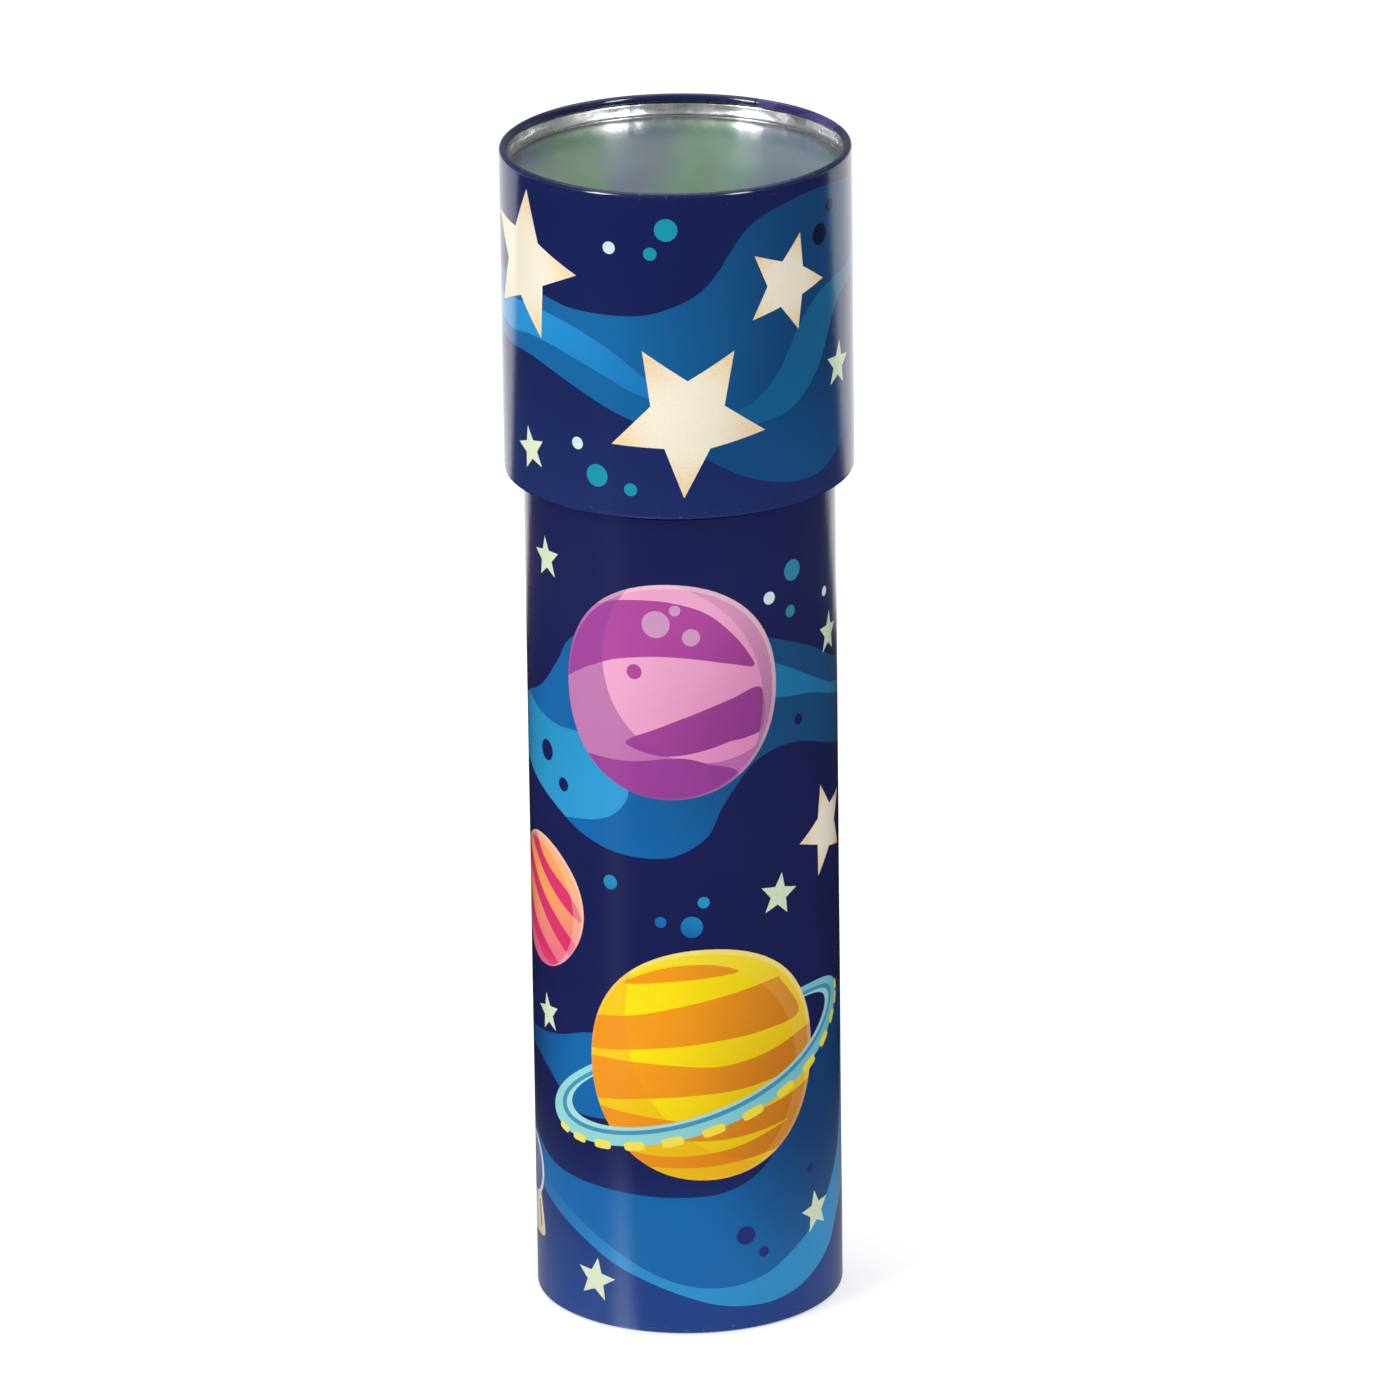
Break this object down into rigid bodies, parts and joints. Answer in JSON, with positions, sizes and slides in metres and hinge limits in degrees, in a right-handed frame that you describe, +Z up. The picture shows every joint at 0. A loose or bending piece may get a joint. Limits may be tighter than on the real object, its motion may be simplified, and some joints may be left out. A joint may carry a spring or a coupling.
{
  "type": "kaleidoscope",
  "caption": "Round tin-plate toy kaleidoscope standing on its eyepiece end, with a wider turning cap that holds loose coloured bits behind a frosted window.",
  "frame": {"origin": "centre of the base, on the plane that the eyepiece end stands on", "axes": "+Z up along the tube's axis, towards the frosted window; -Y is the front of the printed picture; +X is to the right seen from the front"},
  "size_m": [0.057, 0.057, 0.1972],
  "materials": {
    "tube_tinplate": "lithographed tinplate, navy ground with printed stars and planets under gloss lacquer; bare inside",
    "cap_tinplate": "lithographed tinplate, navy ground with printed stars and ribbons under gloss lacquer; bare inside",
    "bare_tin": "bright tinplate",
    "clear_plastic": "clear polished sheet",
    "frosted_plastic": "frosted translucent sheet",
    "grey_card": "grey board",
    "black_card": "matt black card",
    "mirror_strip": "front-silvered strip",
    "spring_wire": "drawn spring wire",
    "white_plastic": "moulded, satin",
    "bit_green": "transparent moulded plastic",
    "bit_blue": "transparent moulded plastic",
    "bit_teal": "transparent moulded plastic",
    "bit_violet": "transparent moulded plastic",
    "bit_amber": "transparent moulded plastic"
  },
  "bodies": {
    "tube": {"body_tube": "tube_tinplate", "eyepiece_plate": "bare_tin", "eye_window": "clear_plastic", "eye_window_card": "grey_card", "eye_baffle": "black_card", "mirror_strip_1": "mirror_strip", "mirror_strip_2": "mirror_strip", "mirror_strip_3": "mirror_strip", "mirror_wrap": "black_card", "rear_spacer": "grey_card", "front_spacer": "grey_card", "object_window": "clear_plastic", "object_window_clip": "spring_wire"},
    "cap": {"cap_shell": "cap_tinplate", "cell_ring": "white_plastic", "frosted_window": "frosted_plastic", "window_retainer": "bare_tin"},
    "inner_bits": {"star_bit_1": "bit_green", "bead_bit_1": "bit_green", "star_bit_2": "bit_green"},
    "middle_bits": {"gem_bit_1": "bit_blue", "star_bit_3": "bit_green", "bead_bit_2": "bit_green", "moon_bit_1": "bit_blue", "gem_bit_2": "bit_green", "star_bit_4": "bit_blue", "bead_bit_3": "bit_teal", "moon_bit_2": "bit_teal"},
    "outer_bits": {"star_bit_5": "bit_green", "gem_bit_3": "bit_blue", "bead_bit_4": "bit_blue", "star_bit_6": "bit_green", "moon_bit_3": "bit_blue", "gem_bit_4": "bit_green", "star_bit_7": "bit_green", "gem_bit_5": "bit_green", "bead_bit_5": "bit_green", "star_bit_8": "bit_amber", "moon_bit_4": "bit_blue", "gem_bit_6": "bit_violet", "bead_bit_6": "bit_teal"}
  },
  "joints": [
    {"name": "cap_turn", "type": "hinge", "parent": "tube", "child": "cap", "pos_m": [0, 0, 0.1602], "axis": [0, 0, 1], "continuous": true},
    {"name": "bits_fall", "type": "slide", "parent": "cap", "child": "inner_bits", "axis": [0, 0, 1], "range_m": [0, 0.0058]},
    {"name": "middle_bits_tumble", "type": "hinge", "parent": "inner_bits", "child": "middle_bits", "pos_m": [0, 0, 0.1847], "axis": [0, 0, 1], "continuous": true},
    {"name": "outer_bits_tumble", "type": "hinge", "parent": "inner_bits", "child": "outer_bits", "pos_m": [0, 0, 0.1847], "axis": [0, 0, 1], "continuous": true}
  ]
}
